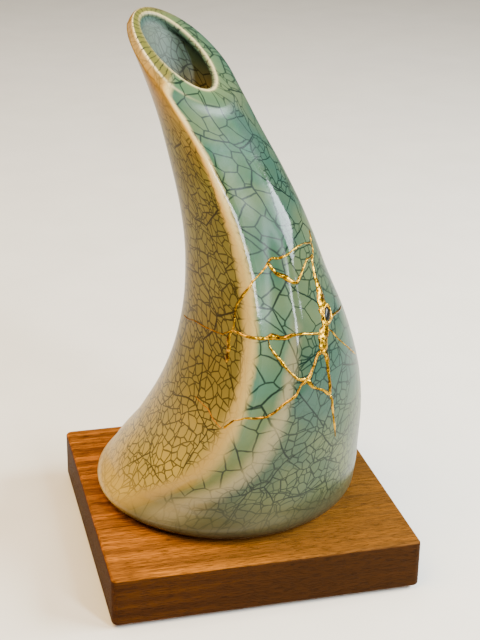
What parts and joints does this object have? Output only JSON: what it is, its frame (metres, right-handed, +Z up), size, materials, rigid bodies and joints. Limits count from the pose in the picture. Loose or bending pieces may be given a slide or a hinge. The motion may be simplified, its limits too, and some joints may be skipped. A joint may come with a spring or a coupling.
{
  "type": "repaired ceramic vase on base",
  "caption": "Hollow horn-shaped celadon vase with a slanted oval mouth, gold-filled repair seams and a dark oval inlay, on a square wooden base with a felt underside",
  "frame": {"origin": "middle of the felt pad's underside, on the surface that the base stands on", "axes": "+Z up; +X to the right of the side that shows the main ridge; -Y towards the viewer. The base's sides lie along X and Y, and the vase leans towards -X and +Y"},
  "size_m": [0.15, 0.15, 0.2611],
  "materials": {
    "celadon_glaze": "glossy crackled celadon glaze, ochre to grey-green, over hand-built clay",
    "gold": "gold powder over lacquer, uneven and softly bright",
    "black_stone": "polished black cabochon",
    "oiled_wood": "oiled medium-brown hardwood with straight grain",
    "black_felt": "thin dense black felt"
  },
  "bodies": {
    "root": {"vase": "celadon_glaze", "gold_seams": "gold", "black_inlay": "black_stone", "wooden_base": "oiled_wood", "felt_pad": "black_felt"}
  },
  "joints": []
}
